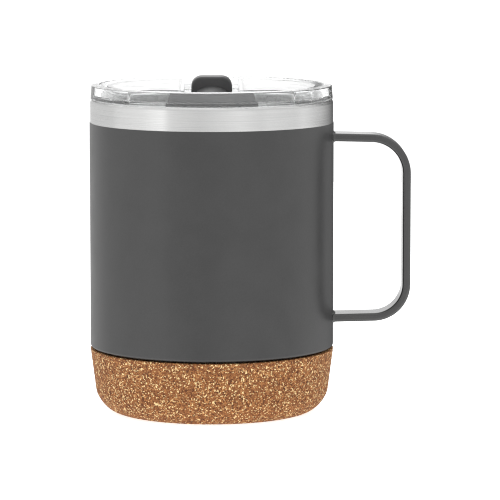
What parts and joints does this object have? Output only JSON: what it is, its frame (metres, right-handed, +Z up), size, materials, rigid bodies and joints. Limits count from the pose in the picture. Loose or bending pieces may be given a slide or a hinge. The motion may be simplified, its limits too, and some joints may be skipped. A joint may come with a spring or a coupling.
{
  "type": "travel mug",
  "caption": "Double-wall steel travel mug with a cork base, welded strap handle and clear press-in lid with a sliding drink closure.",
  "frame": {"origin": "centre of the flat underside of the cork base, on the axis of the body", "axes": "+Z up along the body's axis, +X towards the handle, -Y towards the drinking side of the lid"},
  "size_m": [0.1106, 0.0842, 0.1164],
  "materials": {
    "shell_steel": "stainless steel, brushed round the body",
    "liner_steel": "stainless steel, satin",
    "solder_glass": "fused sealing glass",
    "getter_metal": "dull metal",
    "powder_coat": "dark grey polyester powder coat, fine satin texture",
    "painted_steel": "dark grey powder coat over steel, satin",
    "cork": "agglomerated cork, light and dark granules",
    "adhesive": "adhesive film",
    "clear_plastic": "clear polished copolyester",
    "clear_silicone": "translucent silicone",
    "slider_plastic": "dark grey moulded plastic, fine satin",
    "grey_silicone": "grey silicone"
  },
  "bodies": {
    "cup": {"outer_shell": "shell_steel", "inner_vessel": "liner_steel", "shell_base": "liner_steel", "vacuum_seal": "solder_glass", "getter": "getter_metal", "powder_coat": "powder_coat", "handle_strap": "painted_steel", "cork_base": "cork", "cork_adhesive": "adhesive"},
    "gasket": {"lid_gasket": "clear_silicone"},
    "lid": {"lid_body": "clear_plastic"},
    "slider": {"lid_slider": "slider_plastic", "slider_seal": "grey_silicone", "slider_retainer": "slider_plastic"}
  },
  "joints": [
    {"name": "lid_lift", "type": "slide", "parent": "cup", "child": "gasket", "axis": [0, 0, 1], "range_m": [0, 0.06]},
    {"name": "lid_turn", "type": "hinge", "parent": "gasket", "child": "lid", "pos_m": [0, 0, 0.104], "axis": [0, 0, 1], "continuous": true},
    {"name": "slider_slide", "type": "slide", "parent": "lid", "child": "slider", "axis": [0, 1, 0], "range_m": [0, 0.0057]}
  ]
}
